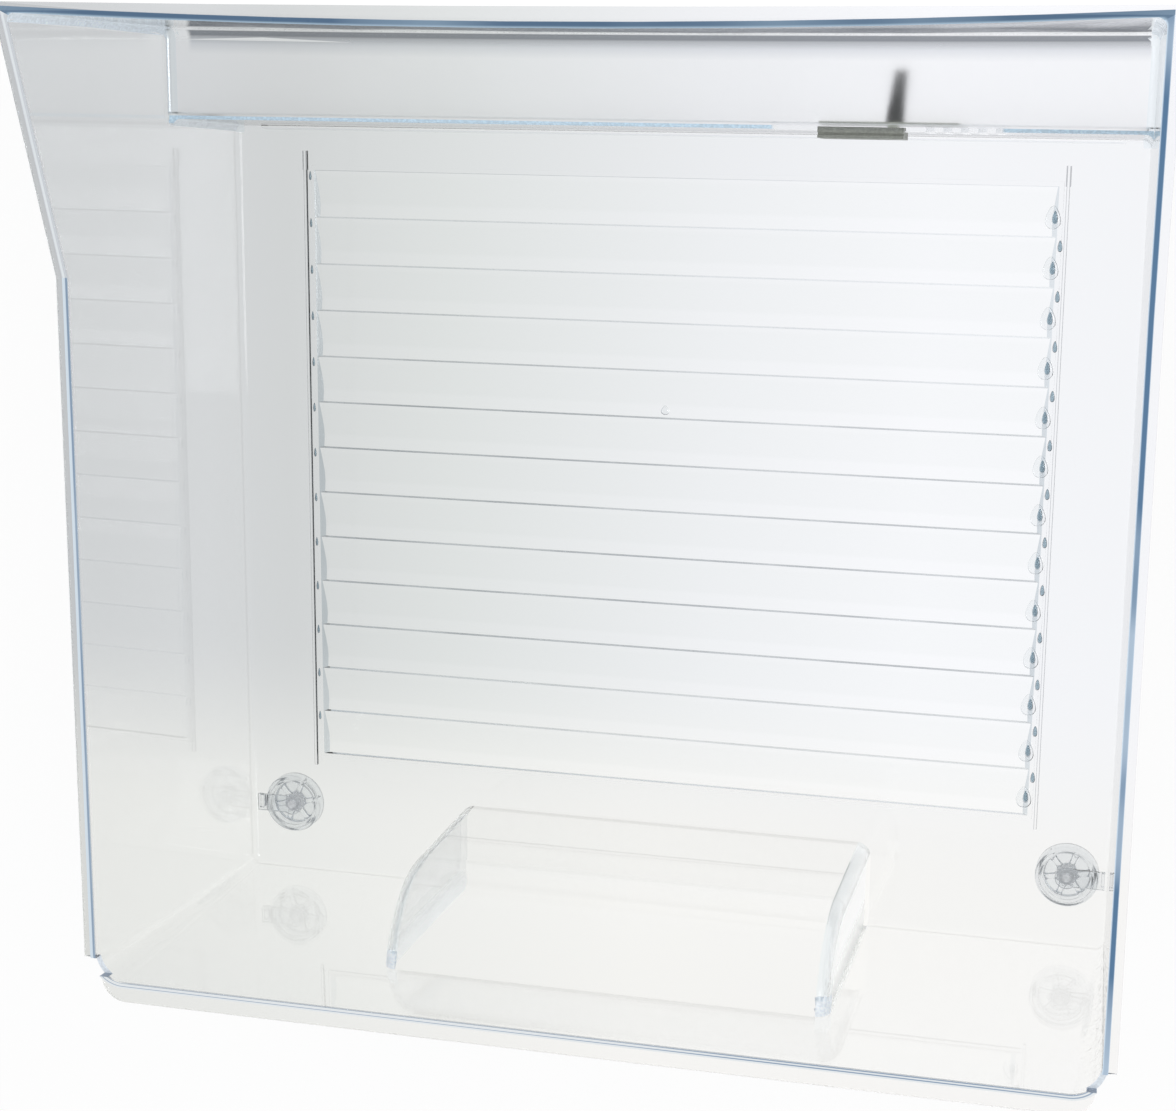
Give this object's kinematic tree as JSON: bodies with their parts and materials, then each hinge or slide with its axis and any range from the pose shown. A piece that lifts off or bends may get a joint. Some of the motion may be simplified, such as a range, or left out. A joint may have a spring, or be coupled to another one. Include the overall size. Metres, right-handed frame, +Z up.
{
  "type": "refrigerator crisper drawer",
  "caption": "Clear open-topped fridge crisper with a raised front ledge, waved floor, rear bump, sliding humidity vent and spoked guide rollers.",
  "frame": {"origin": "on the rest plane, in the middle of the drawer's footprint", "axes": "+X across the drawer, away from the humidity slider; -Y to the front, +Y to the rear; +Z up"},
  "size_m": [0.4602, 0.436, 0.2107],
  "materials": {
    "clear_plastic": "clear, polished, with a frosted ledge",
    "black_plastic": "moulded black",
    "grey_plastic": "moulded light grey",
    "roller_plastic": "translucent",
    "pin_plastic": "dark moulded",
    "bracket_plastic": "translucent"
  },
  "bodies": {
    "drawer": {"drawer_tub": "clear_plastic", "roller_axle_left": "pin_plastic", "roller_bracket_left": "bracket_plastic", "roller_axle_right": "pin_plastic", "roller_bracket_right": "bracket_plastic"},
    "humidity_slider": {"vent_shutter": "black_plastic", "vent_slide_block": "grey_plastic"},
    "roller_left": {"roller_left": "roller_plastic"},
    "roller_right": {"roller_right": "roller_plastic"}
  },
  "joints": [
    {"name": "humidity_slide", "type": "slide", "parent": "drawer", "child": "humidity_slider", "axis": [1, 0, 0], "range_m": [-0.0187, 0.0187]},
    {"name": "roller_left_spin", "type": "hinge", "parent": "drawer", "child": "roller_left", "pos_m": [0.196, 0.1735, 0.0049], "axis": [0, 0, 1], "continuous": true},
    {"name": "roller_right_spin", "type": "hinge", "parent": "drawer", "child": "roller_right", "pos_m": [-0.196, 0.1735, 0.0049], "axis": [0, 0, 1], "continuous": true}
  ]
}
